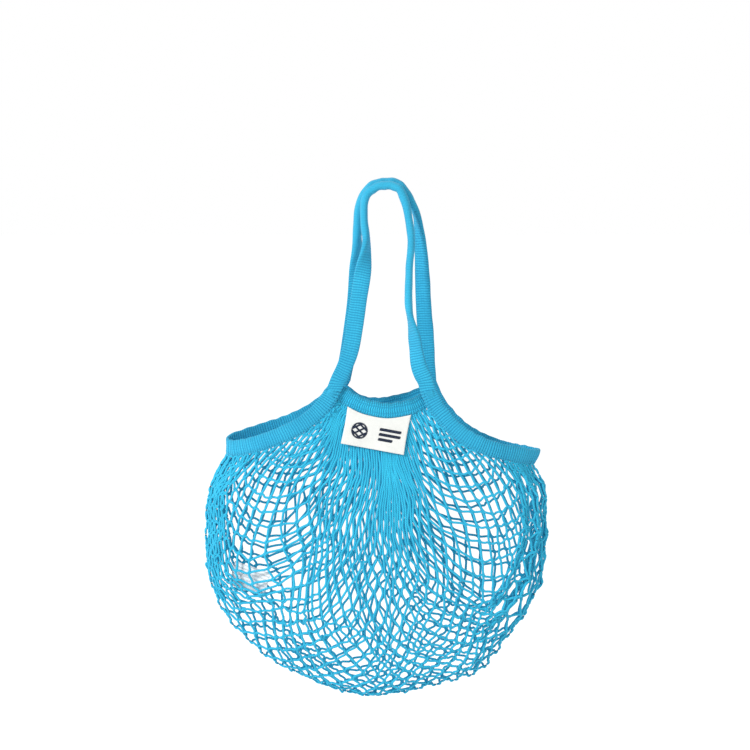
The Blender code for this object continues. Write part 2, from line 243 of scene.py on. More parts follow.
def skin(name, tubes, finish):
    """One mesh from many tubes; each tube is (rings, run): stations x around x 3, and metres."""
    points, quads, caps, quad_uv = [], [], [], []
    start = 0
    for rings, run in tubes:
        stations, around, _ = rings.shape
        index = start + np.arange(stations * around).reshape(stations, around)
        beside = np.roll(index, -1, axis=1)
        quads.append(np.stack([index[:-1], beside[:-1], beside[1:], index[1:]], -1).reshape(-1, 4))
        turn = np.arange(around) / around
        run = np.broadcast_to(run[:, None] if run.ndim == 1 else run, (stations, around))
        beyond = np.roll(run, -1, axis=1)
        low = np.broadcast_to(turn, (stations - 1, around))
        high = low + 1 / around
        corners = np.stack([run[:-1], low, beyond[:-1], high, beyond[1:], high, run[1:], low], -1)
        quad_uv.append(corners.reshape(-1, 2))
        caps += [list(index[0, ::-1]), list(index[-1])]
        points.append(rings.reshape(-1, 3))
        start += stations * around
    points, quads = np.concatenate(points), np.concatenate(quads)
    cap_loops = np.concatenate(caps)
    mesh = bpy.data.meshes.new(name)
    mesh.vertices.add(len(points))
    mesh.vertices.foreach_set("co", points.astype(np.float32).ravel())
    mesh.loops.add(quads.size + cap_loops.size)
    mesh.loops.foreach_set("vertex_index", np.concatenate([quads.ravel(), cap_loops]))
    sizes = [len(cap) for cap in caps]
    starts = np.concatenate([np.arange(len(quads)) * 4, quads.size + np.cumsum([0, *sizes[:-1]])])
    mesh.polygons.add(len(starts))
    mesh.polygons.foreach_set("loop_start", starts)
    uv = mesh.uv_layers.new(name="run")
    flat_uv = np.concatenate([*quad_uv, np.zeros((cap_loops.size, 2))])
    uv.data.foreach_set("uv", flat_uv.astype(np.float32).ravel())
    mesh.update(calc_edges=True)
    mesh.validate()
    return as_piece(name, mesh, finish)


def round_rings(route, radius, sides, facing):
    """Rings of a round cord; facing is any direction that the cord doesn't run along."""
    along = unit(np.gradient(route, axis=0))
    side = unit(np.cross(facing, along))
    other = np.cross(along, side)
    turn = np.arange(sides) / sides * TAU
    radius = np.broadcast_to(radius, len(route))[:, None, None]
    ring = np.cos(turn)[:, None] * side[:, None] + np.sin(turn)[:, None] * other[:, None]
    return route[:, None] + radius * ring


def thread_tube(route, radius, sides=6, facing=(0.05, 1, 0.1)):
    return round_rings(route, radius, sides, np.array(facing, float)), run_of(route)


# %% [markdown]
# ## Finishes: shared effects
#
# Four effects come back in the finishes, so each is a node group with named sockets. `plied
# twist` gives the slanting strands of a twisted cord or thread, and `knit face` the small even
# stitches of knitted tape; the groove masks of both darken the colour as painted shade. The rib
# group darkens the valleys between a tape's ribs in the colour: painted shade too. `dye mottle`
# gives the uneven take-up of dye. A group only puts out masks and heights: the shader itself
# stays in each material.

# %% Node helpers
FLOAT, VECTOR = "NodeSocketFloat", "NodeSocketVector"


def new_group(name, inputs, outputs):
    """An empty node group with its sockets; inputs are (name, socket type, start value)."""
    group = bpy.data.node_groups.new(name, "ShaderNodeTree")
    for label, kind, start in inputs:
        socket = group.interface.new_socket(name=label, in_out="INPUT", socket_type=kind)
        if start is not None:
            socket.default_value = start
    for label in outputs:
        group.interface.new_socket(name=label, in_out="OUTPUT", socket_type=FLOAT)
    return (group, group.nodes.new("NodeGroupInput").outputs,
            group.nodes.new("NodeGroupOutput").inputs)


def maths(tree):
    """A maker of math nodes in one tree; each operand is a socket or a number."""
    def result(operation, *operands):
        node = tree.nodes.new("ShaderNodeMath")
        node.operation = operation
        for socket, value in zip(node.inputs, operands):
            if isinstance(value, (int, float)):
                socket.default_value = value
            else:
                tree.links.new(value, socket)
        return node.outputs[0]
    return result


def noise(tree, scale, detail, coordinates):
    node = tree.nodes.new("ShaderNodeTexNoise")
    node.inputs["Scale"].default_value = scale
    node.inputs["Detail"].default_value = detail
    tree.links.new(coordinates, node.inputs["Vector"])
    return node.outputs["Fac"]


def run_parts(tree, run):
    """The two parts of the `run` map: along and around."""
    parts = tree.nodes.new("ShaderNodeSeparateXYZ")
    tree.links.new(run, parts.inputs[0])
    return parts.outputs["X"], parts.outputs["Y"]


# %% The plied twist of cord and thread
twist, given, wanted = new_group(
    "plied twist", [("Run", VECTOR, None), ("Plies", FLOAT, 3.0), ("Turn Length", FLOAT, 0.006)],
    ["Height", "Painted Groove Shade"])
m = maths(twist)
along, around = run_parts(twist, given["Run"])
strand = m("ADD", m("DIVIDE", along, given["Turn Length"]), around)
phase = m("MULTIPLY", m("MULTIPLY", strand, given["Plies"]), math.pi)
ridge = m("ABSOLUTE", m("SINE", phase))
twist.links.new(m("POWER", ridge, 0.6), wanted["Height"])
# The groove mask darkens the finishes' colour between the plies: painted shade.
twist.links.new(m("POWER", m("SUBTRACT", 1.0, ridge), 3.0), wanted["Painted Groove Shade"])

# %% The knit face of tape
knit, given, wanted = new_group(
    "knit face",
    [("Run", VECTOR, None), ("Stitch Length", FLOAT, 0.0012), ("Stitches Round", FLOAT, 44.0)],
    ["Height", "Painted Groove Shade"])
m = maths(knit)
along, around = run_parts(knit, given["Run"])
courses = m("DIVIDE", along, given["Stitch Length"])
wales = m("MULTIPLY", around, given["Stitches Round"])
wale_wave = m("ABSOLUTE", m("SINE", m("MULTIPLY", wales, math.pi)))
slanting = m("ADD", courses, m("MULTIPLY", wale_wave, 0.45))
course_wave = m("ABSOLUTE", m("SINE", m("MULTIPLY", slanting, math.pi)))
loops = m("MULTIPLY", m("POWER", wale_wave, 0.5), m("POWER", course_wave, 0.5))
knit.links.new(loops, wanted["Height"])
# The groove mask darkens the finishes' colour between the stitches: painted shade.
knit.links.new(m("POWER", m("SUBTRACT", 1.0, loops), 3.0), wanted["Painted Groove Shade"])

# %% Painted rib shade
ribs, given, wanted = new_group(
    "painted rib shade", [("Run", VECTOR, None), ("Spacing", FLOAT, 0.0029)], ["Painted Groove Shade"])
m = maths(ribs)
along, around = run_parts(ribs, given["Run"])
rib_wave = m("COSINE", m("MULTIPLY", m("DIVIDE", along, given["Spacing"]), TAU))
# This mask darkens the finishes' colour in the valleys between ribs: painted shade.
ribs.links.new(m("POWER", m("MULTIPLY_ADD", rib_wave, -0.5, 0.5), 3.0), wanted["Painted Groove Shade"])

# %% Dye mottle
mottle, given, wanted = new_group("dye mottle", [("Patch Size", FLOAT, 0.03)], ["Mottle"])
m = maths(mottle)
place = mottle.nodes.new("ShaderNodeTexCoord").outputs["Object"]
broad = mottle.nodes.new("ShaderNodeTexNoise")
mottle.links.new(place, broad.inputs["Vector"])
mottle.links.new(m("DIVIDE", 1.0, given["Patch Size"]), broad.inputs["Scale"])
mottle.links.new(m("MULTIPLY_ADD", noise(mottle, 900, 2, place), 0.35,
                   m("MULTIPLY", broad.outputs["Fac"], 0.65)), wanted["Mottle"])
print("groups:", [group.name for group in bpy.data.node_groups])

# %% [markdown]
# ## Finishes: the materials
#
# All the blue parts were dyed together, but they take the light differently: the cord is round
# and twisted, the tape is knitted and matt, and the sewing thread is smooth. Each material sets
# roughness, sheen and the like on the shader itself, and only what changes over the surface
# arrives through links. Sheen gives the pale bloom of fine cotton fuzz at grazing angles.

# %% Cloth materials
def new_finish(name, roughness, sheen):
    """A new cloth material: itself, its tree, its shader and its `run` map."""
    made = bpy.data.materials.new(name)
    made.use_nodes = True
    tree = made.node_tree
    shader = tree.nodes["Principled BSDF"]
    shader.inputs["Roughness"].default_value = roughness
    shader.inputs["Specular IOR Level"].default_value = 0.25
    shader.inputs["Sheen Weight"].default_value = sheen
    uv = tree.nodes.new("ShaderNodeUVMap")
    uv.uv_map = "run"
    return made, tree, shader, uv.outputs["UV"]


def effect_node(tree, effect, settings):
    node = tree.nodes.new("ShaderNodeGroup")
    node.node_tree = effect
    for label, value in settings.items():
        node.inputs[label].default_value = value
    return node


def shaded(tree, share, deep, pale, low, high):
    """A colour that goes from deep to pale while share goes from low to high."""
    ramp = tree.nodes.new("ShaderNodeValToRGB")
    for element, colour, position in zip(ramp.color_ramp.elements, (deep, pale), (low, high)):
        element.color = (*colour, 1)
        element.position = position
    tree.links.new(share, ramp.inputs["Fac"])
    return ramp.outputs["Color"]


def add_relief(tree, shader, height, distance, strength):
    bump = tree.nodes.new("ShaderNodeBump")
    bump.inputs["Distance"].default_value = distance
    bump.inputs["Strength"].default_value = strength
    tree.links.new(height, bump.inputs["Height"])
    tree.links.new(bump.outputs["Normal"], shader.inputs["Normal"])


def cotton(name, deep, pale, roughness, sheen, effect, settings, relief, rib_spacing=None):
    """A cotton finish: dye mottle, plus painted shade that gives its grooves the deep colour."""
    made, tree, shader, run = new_finish(name, roughness, sheen)
    shader.inputs["Sheen Roughness"].default_value = 0.5
    m = maths(tree)
    shape = effect_node(tree, effect, settings)
    tree.links.new(run, shape.inputs["Run"])
    dye = effect_node(tree, mottle, {"Patch Size": 0.03})
    uneven = m("MULTIPLY_ADD", dye.outputs["Mottle"], 0.9, -0.2)
    # Painted shade: the grooves of the twist or knit darken the colour.
    bright = m("SUBTRACT", 1.0, m("MULTIPLY", shape.outputs["Painted Groove Shade"], 0.75))
    if rib_spacing:
        # Painted shade: the valleys between ribs darken the colour, less where the ribs stretch
        # out.
        between = effect_node(tree, ribs, {"Spacing": rib_spacing})
        tree.links.new(run, between.inputs["Run"])
        depth = tree.nodes.new("ShaderNodeAttribute")
        depth.attribute_name = "rib depth"
        shade = m("MULTIPLY", between.outputs["Painted Groove Shade"], m("MULTIPLY", depth.outputs["Fac"], 0.9))
        bright = m("MULTIPLY", bright, m("SUBTRACT", 1.0, shade))
    share = m("MULTIPLY", m("ADD", uneven, 0.35), bright)
    tree.links.new(shaded(tree, share, deep, pale, 0.05, 0.85), shader.inputs["Base Color"])
    add_relief(tree, shader, shape.outputs["Height"], relief, 0.9)
    return made


# Each deep colour is partly uneven dye and partly painted shade in the grooves.
net_cord = cotton("net_cord", (0.010, 0.290, 0.500), (0.038, 0.560, 0.810), 0.8, 0.10, twist,
                  {"Plies": 3.0, "Turn Length": 0.0075}, 0.00035)
blue_thread = cotton("blue_thread", (0.016, 0.320, 0.540), (0.040, 0.500, 0.750), 0.6, 0.10, twist,
                     {"Plies": 2.0, "Turn Length": 0.0016}, 0.0001)
navy_thread = cotton("navy_thread", (0.004, 0.008, 0.020), (0.012, 0.024, 0.060), 0.5, 0.10, twist,
                     {"Plies": 2.0, "Turn Length": 0.0014}, 0.0001)

# %% [markdown]
# ## The tape
#
# One long knitted tape goes round the whole bag: up over the hook as the front handle, down
# round the right rim, up as the back handle and round the left rim. A tube or a flat strip would
# not do, because the tape lies flat on the rims, turns edge-on up the handles and curls into an
# oval over the hook. So each station along it has its own width, thickness and turn, eased from
# a few named stops, and the four pieces are cut from one closed run so that their ribs meet.

# %% Tape routes and sizes, the same as in the CAD source
TAPE_WIDTH = 0.018
TAPE_THICKNESS = 0.004
ROLLED_WIDTH = 0.0130
ROLLED_THICKNESS = 0.0096
CURLED_THICKNESS = 0.0085
SQUARE_LENGTH = 0.014
UP = np.array((0.0, 0.0, 1.0))
FRONT_HANDLE = mm([
    (-57, -27, -214.7), (-47, -25.3, -193.5), (-40, -23.3, -171), (-35, -20.5, -138),
    (-29.5, -17, -102), (-24.2, -13.6, -64), (-26.3, -11, -36), (-25.5, -9.0, -14),
    (-17.5, -7.6, -1.8), (-2, -7.4, 2.6), (13, -7.6, -2.8), (20.5, -9.6, -25),
    (25, -12.5, -56), (22.8, -15.5, -90), (22, -19, -126), (27.5, -22, -158),
    (33, -25, -192), (42, -27, -214.7)])
FRONT_TURNS = ((0, 0), (0.24, 0), (0.37, 84), (0.42, 90), (0.82, 90), (0.90, 135), (0.985, 180),
               (1, 180))
BACK_HANDLE = mm([
    (-51, 27, -214.7), (-45.5, 24.6, -190), (-40, 21, -154), (-36, 18, -120),
    (-34, 14.5, -80), (-34, 11.5, -42), (-30.5, 9.4, -17), (-19.5, 7.8, 0.8),
    (-2, 7.4, 5.8), (13, 7.7, 2.0), (28.5, 9.9, -22), (35, 12.6, -55),
    (37.5, 16.3, -98), (40.5, 20.5, -146), (43.5, 24, -190), (45.5, 27, -214.7)])
BACK_TURNS = ((0, 0), (0.22, 0), (0.37, 90), (0.56, 90), (0.70, 145), (0.96, 180), (1, 180))
HANDLE_WIDTHS = ((0, TAPE_WIDTH), (0.26, TAPE_WIDTH), (0.42, ROLLED_WIDTH), (0.56, ROLLED_WIDTH),
                 (0.80, TAPE_WIDTH), (1, TAPE_WIDTH))
FRONT_THICKNESSES = ((0, TAPE_THICKNESS), (0.25, TAPE_THICKNESS), (0.38, CURLED_THICKNESS),
                     (0.46, ROLLED_THICKNESS), (0.54, ROLLED_THICKNESS), (0.64, CURLED_THICKNESS),
                     (0.80, CURLED_THICKNESS), (0.92, TAPE_THICKNESS), (1, TAPE_THICKNESS))
BACK_THICKNESSES = ((0, TAPE_THICKNESS), (0.22, TAPE_THICKNESS), (0.34, ROLLED_THICKNESS),
                    (0.54, ROLLED_THICKNESS), (0.70, TAPE_THICKNESS), (1, TAPE_THICKNESS))
LEFT_RIM = mm([
    (-57, -27, -215.3), (-70, -27.6, -236), (-84, -28.6, -250), (-101, -29.5, -261.5),
    (-120, -29, -270.5), (-139, -25, -278), (-158, -17, -284), (-172, -8.5, -286.5),
    (-177.5, 0, -285), (-172, 8.5, -281), (-158, 17, -277), (-139, 25, -271.5),
    (-120, 29, -266), (-101, 29.5, -258.5), (-84, 28.6, -249.5), (-67, 27.6, -236),
    (-51, 27, -215.3)])
RIGHT_RIM = mm([
    (42, -27, -215.3), (49, -27.3, -233), (58, -28, -246), (69, -29, -259),
    (84, -29.5, -271), (101, -29, -280), (120, -25, -287), (139, -17.5, -292),
    (155, -8.5, -296), (164, 0, -297), (155, 8.5, -295.5), (139, 17.5, -293.5),
    (120, 25, -289), (101, 29, -281.5), (84, 29.5, -271.5), (70, 29, -258.5),
    (59, 28, -245), (51, 27.3, -232), (45.5, 27, -215.3)])
FRONT_BINDING = mm([
    (-56, -22.2, -222), (-46, -22.4, -228.5), (-35, -25.4, -234.5), (-22, -26.8, -239.5),
    (-1, -27, -243), (20, -26.6, -240), (30, -24.8, -237), (38, -22.5, -233),
    (46, -22.2, -228)])
BACK_BINDING = mm([
    (-53, 22.2, -225), (-42, 22.4, -234), (-31, 25.4, -240.5), (-20, 26.8, -243),
    (-5, 27, -243), (11, 26.8, -240), (25, 25.2, -236.5), (36, 22.5, -231.5),
    (47, 22.2, -226)])

# %% Stations along a tape
STATION = 0.0006  # between stations: four or five to each rib
CORNER_LEAN = math.radians(24)  # the right corner's upper edge stands out
LEAN_SPREAD = 0.07  # of the rim's length, to each side of the corner
FLAT_FULLNESS, ROLLED_FULLNESS = 0.5, 0.9  # power of the section: boxy when flat, oval rolled


def level_across(along):
    """Across a tape that runs round the bag: square to its run, its face looking level."""
    level = unit(np.stack([along[:, 1], -along[:, 0], 0 * along[:, 0]], 1))
    return np.cross(along, level)


def turned_across(turns):
    """Across a handle's tape, which turns about its leg by the eased angles in turns."""
    def across(along):
        angle = np.radians(eased(turns, np.linspace(0, 1, len(along))))
        return np.stack([np.cos(angle), np.sin(angle), 0 * angle], 1)
    return across


def tape_run(points, across_of, square_ends, widths=None, thicknesses=None, lean=0.0):
    """Stations of a tape: middle, along, across, face direction, width, thickness, fullness."""
    middle = smooth_route(points, STATION)
    along = unit(np.gradient(middle, axis=0))
    across = across_of(along)
    if square_ends:
        walked = run_of(middle)
        near_end = np.minimum(walked, walked[-1] - walked)
        level = np.where(along[:, 2:] > 0, UP, -UP)
        share = smoothstep(near_end / SQUARE_LENGTH)[:, None]
        along = unit(level * (1 - share) + along * share)
    across = unit(across - np.sum(across * along, 1)[:, None] * along)
    shares = np.linspace(0, 1, len(middle))
    tip = (lean * np.exp(-((shares - 0.5) / LEAN_SPREAD) ** 2))[:, None]
    across = across * np.cos(tip) + np.cross(along, across) * np.sin(tip)
    width = eased(widths or ((0, TAPE_WIDTH), (1, TAPE_WIDTH)), shares)
    thickness = eased(thicknesses or ((0, TAPE_THICKNESS), (1, TAPE_THICKNESS)), shares)
    rolled = (thickness - TAPE_THICKNESS) / (ROLLED_THICKNESS - TAPE_THICKNESS)
    fullness = FLAT_FULLNESS + (ROLLED_FULLNESS - FLAT_FULLNESS) * rolled
    return SimpleNamespace(middle=middle, along=along, across=across, width=width,
                           inward=np.cross(along, across), thickness=thickness, fullness=fullness)


def joined(*runs):
    return SimpleNamespace(**{key: np.concatenate([getattr(run, key) for run in runs])
                              for key in vars(runs[0])})


def picked(run, indices):
    """The stations with these indices, counting round the closed tape."""
    return SimpleNamespace(**{key: np.take(value, indices, axis=0, mode="wrap")
                              for key, value in vars(run).items()})


def backwards(run):
    turned = picked(run, np.arange(len(run.middle))[::-1])
    turned.along, turned.inward = -turned.along, -turned.inward
    return turned


front_run = tape_run(FRONT_HANDLE, turned_across(FRONT_TURNS), True, HANDLE_WIDTHS,
                     FRONT_THICKNESSES)
back_run = backwards(tape_run(BACK_HANDLE, turned_across(BACK_TURNS), True, HANDLE_WIDTHS,
                              BACK_THICKNESSES))
left_run = backwards(tape_run(LEFT_RIM, level_across, True))
right_run = tape_run(RIGHT_RIM, level_across, True, lean=CORNER_LEAN)
long_tape = joined(front_run, right_run, back_run, left_run)
closing = np.linalg.norm(long_tape.middle[0] - long_tape.middle[-1])
tape_length = run_of(long_tape.middle)[-1] + closing
print("the long tape is", round(tape_length, 3), "m round")

# %% [markdown]
# ## Ribs
#
# The tape is a rib knit: every few millimetres a fold of stitches stands up across it. The
# shadows between ribs are what makes it read as knitwear, so the ribs are in the mesh and not
# only in the bump; the tape's finish also darkens the valleys in its colour, as painted shade.
# The rib spacing is fitted to the whole loop, so that it closes without a jump, and a slow
# wobble keeps the ribs from being ruled lines.

# %% Skin a ribbed tape
SECTION_POINTS = 28
RIB_SPACING = tape_length / round(tape_length / 0.0028)
RIB_HEIGHT = 0.00070
RIB_STOPS = (0.5, 1.0), (0.68, 0.55), (0.9, 0.12)  # by the section's fullness
SWAY_LENGTH, CRUMPLE_LENGTH = 0.045, 0.012  # the tape's slow and quick wobbles
CRUMPLE_WIDTH, CRUMPLE_THICKNESS, CRUMPLE_HEIGHT = 0.025, 0.05, 0.00025
RIB_SLANT, RIB_WIGGLE = 0.00045, 0.0002
WIGGLE_ACROSS, WIGGLE_ALONG = 0.8, 40  # turns from middle to edge, radians to each metre
RIB_POWER, RIB_LEVEL = 0.6, 0.7  # broad crests, narrow valleys that cut below the tape's face
RIB_AT_EDGE, RIB_UNEVEN = 0.3, 0.2
BINDING_SPACING, BINDING_RIB = 0.0024, 0.00020
# Both tape finishes darken the colour between their ribs and stitches: painted shade.
rib_tape = cotton("rib_tape", (0.010, 0.240, 0.440), (0.044, 0.520, 0.770), 0.85, 0.15, knit,
                  {"Stitch Length": 0.0011, "Stitches Round": 42.0}, 0.00022, RIB_SPACING)
binding_tape = cotton("binding_tape", (0.009, 0.255, 0.465), (0.035, 0.54, 0.81), 0.85, 0.12,
                      knit, {"Stitch Length": 0.0024, "Stitches Round": 18.0}, 0.0010,
                      BINDING_SPACING)
long_tape.run = run_of(long_tape.middle)
section_turn = np.arange(SECTION_POINTS) / SECTION_POINTS * TAU


def rib_depth(run):
    """How much of their height the ribs keep: they stretch out where the tape curls."""
    return eased(RIB_STOPS, run.fullness)


def tape_rings(run, rib_height, rib_spacing):
    """Rings of a ribbed tape with softly rounded edges and small wobbles, and its slanted run."""
    power = run.fullness[:, None]
    a = np.sign(np.cos(section_turn)) * np.abs(np.cos(section_turn)) ** power
    b = np.sign(np.sin(section_turn)) * np.abs(np.sin(section_turn)) ** power
    sway = drift(run.middle, SWAY_LENGTH, 3)
    crumple = drift(run.middle, CRUMPLE_LENGTH, 4)
    half_width = run.width / 2 * (1 + CRUMPLE_WIDTH * crumple[:, 0])
    half_thick = run.thickness / 2 * (1 + CRUMPLE_THICKNESS * crumple[:, 1])
    wiggle = RIB_WIGGLE * np.sin(TAU * a * WIGGLE_ACROSS + WIGGLE_ALONG * run.run[:, None])
    slanted = run.run[:, None] + (RIB_SLANT * a * sway[:, :1] + wiggle)
    rib = 0.5 + 0.5 * np.cos(TAU * slanted / rib_spacing)
    slack = rib_depth(run)[:, None]
    uneven = 1 - RIB_UNEVEN + RIB_UNEVEN * sway[:, 1:2]
    swell = rib_height * (rib ** RIB_POWER - RIB_LEVEL) * slack * uneven
    wide = a * half_width[:, None] + np.sign(a) * RIB_AT_EDGE * swell
    across = run.across[:, None] * wide[..., None]
    inward = run.inward[:, None] * (b * (half_thick[:, None] + swell))[..., None]
    return run.middle[:, None] + across + inward + (CRUMPLE_HEIGHT * crumple)[:, None], slanted


def tape_mesh(name, run, finish, rib_height, rib_spacing):
    """A tape's mesh, with the depth of its ribs stored for the painted shade between them."""
    made = skin(name, [tape_rings(run, rib_height, rib_spacing)], finish)
    depth = made.data.attributes.new("rib depth", "FLOAT", "POINT")
    depth.data.foreach_set("value", np.repeat(rib_depth(run), SECTION_POINTS))
    return made


def face_point(run, at, aside, lift):
    """Points on a tape's outer face: at metres along, aside of its middle, lifted off it."""
    step = np.interp(at, run.run, np.arange(len(run.run)))
    low = np.minimum(step.astype(int), len(run.run) - 2)
    share = (step - low)[..., None]

    def mix(values):
        values = values if values.ndim > 1 else values[:, None]
        return values[low] * (1 - share) + values[low + 1] * share
    fill = 1 - np.minimum(np.abs(2 * np.asarray(aside)[..., None] / mix(run.width)), 1) ** 4
    proud = mix(run.thickness) / 2 * fill ** 0.25 + np.asarray(lift)[..., None]
    return (mix(run.middle) - unit(mix(run.across)) * np.asarray(aside)[..., None]
            - unit(mix(run.inward)) * proud)


# %% [markdown]
# ## Cutting the long tape into its four pieces
#
# The handles fold and the rims don't, so the loop is cut a little below each handle's feet. A
# handle piece runs on from the handle over the few millimetres below its feet, and the cut
# lies under the bar tacks.

# %% The four long pieces
CUT_BELOW_FOOT = 0.0075
spare = round(CUT_BELOW_FOOT / STATION)
starts = np.cumsum([0, *[len(run.middle) for run in (front_run, right_run, back_run, left_run)]])


def tape_piece(name, first, last):
    stations = picked(long_tape, np.arange(first, last))
    stations.run = long_tape.run[first % starts[-1]] + run_of(stations.middle)
    return tape_mesh(name, stations, rib_tape, RIB_HEIGHT, RIB_SPACING)


front_handle = tape_piece("front_handle_tape", starts[0] - spare, starts[1] + spare)
right_rim = tape_piece("right_rim_tape", starts[1] + spare - 1, starts[2] - spare + 1)
back_handle = tape_piece("back_handle_tape", starts[2] - spare, starts[3] + spare)
left_rim = tape_piece("left_rim_tape", starts[3] + spare - 1, starts[4] - spare + 1)

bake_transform(front_handle)
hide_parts("front_handle")
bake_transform(back_handle)
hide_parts("back_handle")
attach(right_rim, "bag")
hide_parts("right_rim_binding")
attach(left_rim, "bag")
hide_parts("left_rim_binding")

# %% The two centre bindings
def binding(name, points, node):
    run = tape_run(points, level_across, False)
    run.run = run_of(run.middle)
    made = tape_mesh(name, run, binding_tape, BINDING_RIB, BINDING_SPACING)
    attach(made, "bag")
    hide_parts(node)
    return run


front_binding = binding("front_binding_tape", FRONT_BINDING, "front_centre_binding")
back_binding = binding("back_binding_tape", BACK_BINDING[::-1], "back_centre_binding")

# %% [markdown]
# ## The net
#
# The net is made as one rectangle of knotless diamonds. Its short ends are gathered on the two
# centre bindings, its long sides into the rims, and its middle row is the fold at the bottom. So
# every knot has an address: a column, fanning out from the binding, and a row, curving round it.
# A Coons patch fills in the knots between four known edges: the binding, the two rims and the
# fold. It has no forces in it, so it is only a stand-in for how a net hangs. The rest is fitted:
# rows crowd towards the fold at the sides, columns spread wide beside the rims, and the
# right side doubles back on itself in pleats.

# %% The belly's outline, row by row as in the CAD: height, left edge, right edge
BELLY = mm([
    (-331, -197, 173), (-361, -202, 174.5), (-401, -202, 174), (-443, -196, 166),
    (-477, -180.5, 151.5), (-497, -162.5, 136), (-525, -133, 116), (-542, -98, 98),
    (-556, -67, 49), (-565, -36, 2)])
LOWEST = (-0.020, 0, -0.5668)
COLUMNS = 32
ROWS = 27  # half diamonds, from the binding to the fold
CORD_RADIUS = 0.00134
EDGE_INSET = 0.0005  # the cord's knots start this far inside a tape's lower edge
SIDE_SPACING, BOTTOM_SPACING = 0.0262, 0.0195  # of the columns along the fold
SIDE_ABOVE, BOTTOM_BELOW = -0.465, -0.535
BOUND_FROM, BOUND_TO = -0.0550, 0.0445  # the stretch of the net's edge that the bindings hold
LEFT_FOOT, RIGHT_FOOT = -0.0590, 0.0465
walls = BVHTree.FromObject(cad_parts["net_body"], bpy.context.evaluated_depsgraph_get())


def lower_edge(run):
    """The line just inside a tape's lower edge; a tape's across direction points down."""
    down = np.where(run.across[:, 2:] > 0, -run.across, run.across)
    return run.middle + down * (run.width[:, None] / 2 - EDGE_INSET)


def outline(left_corner, right_corner):
    left = [(x, 0, z) for z, x, _ in BELLY]
    right = [(x, 0, z) for z, _, x in BELLY[::-1]]
    return smooth_route(np.array([left_corner, *left, LOWEST, *right, right_corner]), 0.003)


# %% Knots by row and column
def edges_of(front):
    """The four edges of one side of the net: binding, fold, left rim and right rim."""
    top = lower_edge(front_binding if front else back_binding)
    top = top[np.argsort(top[:, 0])]
    top = top[(top[:, 0] > BOUND_FROM) & (top[:, 0] < BOUND_TO)]
    left, right = lower_edge(left_run), lower_edge(right_run)
    left = left[::-1]
    left_corner, right_corner = np.argmin(left[:, 0]), np.argmax(right[:, 0])
    if front:
        left, right = left[:left_corner + 1], right[:right_corner + 1]
    else:
        left, right = left[left_corner:][::-1], right[right_corner:][::-1]
    left = np.vstack([top[:1], left[left[:, 0] < LEFT_FOOT]])
    right = np.vstack([top[-1:], right[right[:, 0] > RIGHT_FOOT]])
    return top, left, right


def fold_places(fold):
    """Shares of the fold's length at each half column: wide at the sides, narrow below."""
    walked = run_of(fold)
    spacing = eased(((BOTTOM_BELOW, BOTTOM_SPACING), (SIDE_ABOVE, SIDE_SPACING)), fold[:, 2])
    count = np.concatenate([[0], np.cumsum(np.diff(walked) * 2 / (spacing[1:] + spacing[:-1]))])
    print("the fold holds", round(count[-1], 1), "columns")
    return np.interp(np.linspace(0, 1, 2 * COLUMNS + 1), count / count[-1], walked / walked[-1])


# By share across: how much of the rows' spacing is lost near the fold, on each half
LEFT_CROWDING = (0, 0.50), (0.06, 0.66), (0.16, 0.66), (0.29, 0)
RIGHT_CROWDING = (0, 0.50), (0.06, 0.70), (0.22, 0.70), (0.32, 0.22), (0.44, 0)
LEFT_CROWD_FROM, RIGHT_CROWD_FROM, CROWD_OVER = 0.58, 0.51, 0.14
ROW_POWER = (0.24, 1.0), (0.36, 1.30)  # the middle's rows close up a little near the fold
# By share down: how much wider the columns stand beside the rims than in the middle
LEFT_SPREAD = (0, -0.25), (0.22, 0.14), (0.55, 0.14), (1, 0)
RIGHT_SPREAD = (0, 0.92), (0.12, 0.72), (0.30, 0.34), (0.55, 0.14), (1, 0)
# The right side also doubles back on itself in pleats, over these shares in from the corner
PLEATED = (0, 0), (0.05, 1), (0.18, 1), (0.31, 0)
PLEATS = 2.5
PLEAT_REACH = 0.026  # of a column's length


def crowded(row_share, column_share):
    """A knot's share of the way down: rows crowd towards the fold, at the sides most of all."""
    side = np.minimum(column_share, 1 - column_share)
    on_left = column_share < 0.5
    closeness = np.where(on_left, eased(LEFT_CROWDING, side), eased(RIGHT_CROWDING, side))
    begin = np.where(on_left, LEFT_CROWD_FROM, RIGHT_CROWD_FROM)
    power = eased(ROW_POWER, side)
    row_share = 1 - (1 - row_share) ** power

    def crowded_length(t):
        eased_in = np.clip((t - begin) / CROWD_OVER, 0, 1)
        return (CROWD_OVER * (eased_in ** 3 - eased_in ** 4 / 2)
                + np.maximum(t - begin - CROWD_OVER, 0))
    crowded_share = ((row_share - closeness * crowded_length(row_share))
                     / (1 - closeness * crowded_length(np.ones(1))))
    phase = np.clip((row_share - begin) / (1 - begin), 0, 1)
    reach = PLEAT_REACH * np.where(on_left, 0, eased(PLEATED, side))
    pleat = reach * np.sin(TAU * PLEATS * phase) * np.sin(math.pi * phase)
    return np.clip(crowded_share + pleat, 0, 1)


def spread(column_share, row_share):
    """A knot's share of the way across: columns stand wide under the rims, close in the middle."""
    pull = np.where(column_share < 0.5, eased(LEFT_SPREAD, row_share),
                    eased(RIGHT_SPREAD, row_share))
    return column_share + pull * np.sin(TAU * column_share) / TAU


